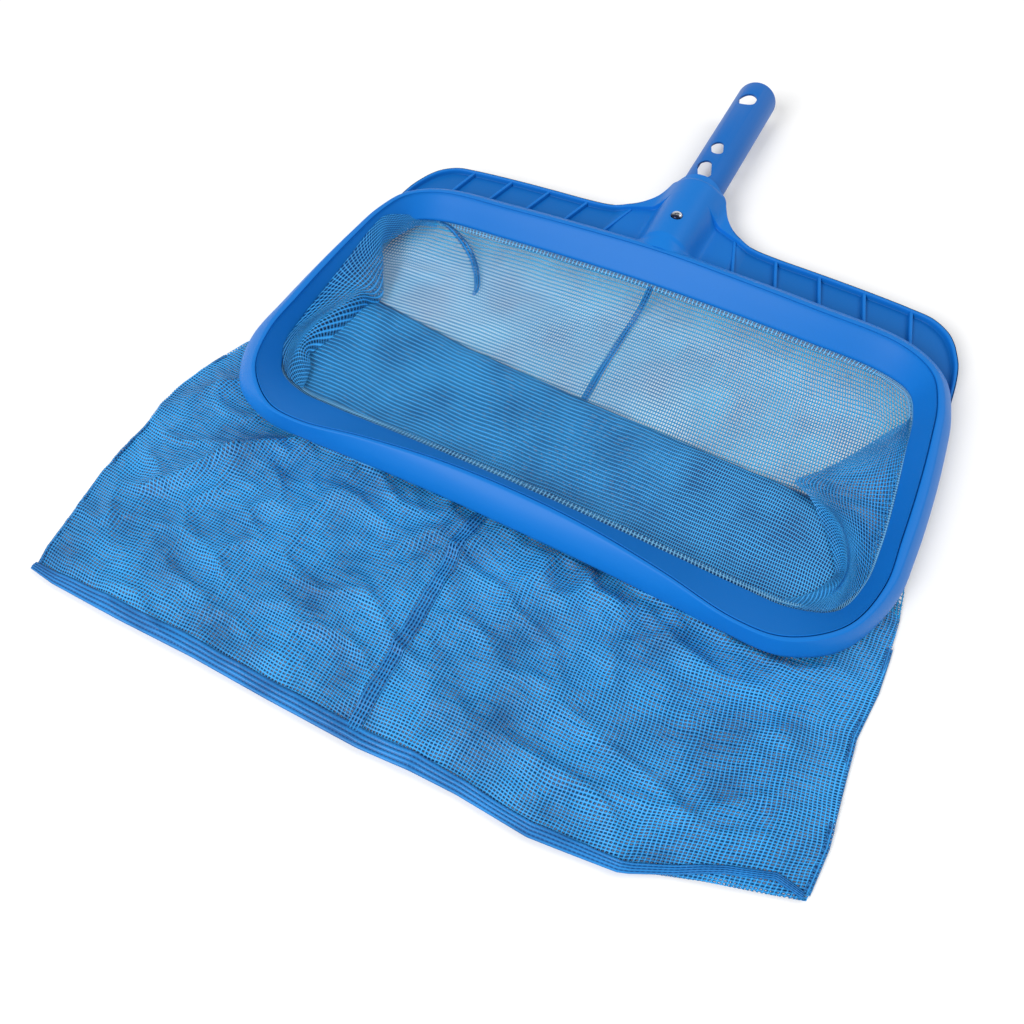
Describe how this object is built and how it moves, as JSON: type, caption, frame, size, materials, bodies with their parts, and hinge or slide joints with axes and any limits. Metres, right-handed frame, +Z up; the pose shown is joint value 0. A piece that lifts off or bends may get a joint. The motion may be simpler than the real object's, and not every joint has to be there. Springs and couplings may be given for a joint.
{
  "type": "pool leaf skimmer net",
  "caption": "Pool leaf skimmer net: wide moulded scoop frame with a funnel mouth, ribbed rear web, pole adapter and a fine mesh bag laid out flat in front.",
  "frame": {"origin": "middle of the bounding box of the laid-out net at floor level, on the frame's centre plane", "axes": "+Z up out of the mouth, +Y along the pole adapter towards the pole, X along the frame's width"},
  "size_m": [0.48, 0.574, 0.0382],
  "materials": {
    "frame_plastic": "smooth moulded blue plastic, satin gloss",
    "adapter_plastic": "smooth moulded blue plastic, satin gloss",
    "net_mesh": "knitted nylon mesh with small open cells",
    "net_seam": "sewn double layer of the mesh",
    "screw_steel": "bright plated steel"
  },
  "bodies": {
    "root": {"frame_body": "frame_plastic", "clamp_ring": "frame_plastic", "pole_adapter": "adapter_plastic", "socket_screw": "screw_steel", "socket_nut": "screw_steel", "net_back_left": "net_mesh", "net_back_right": "net_mesh", "net_back_seam": "net_seam", "net_front_left": "net_mesh", "net_front_right": "net_mesh", "net_front_seam": "net_seam", "net_side_left": "net_mesh", "net_side_right": "net_mesh", "net_bottom_hem": "net_seam", "net_mouth_hem": "net_seam"}
  },
  "joints": []
}
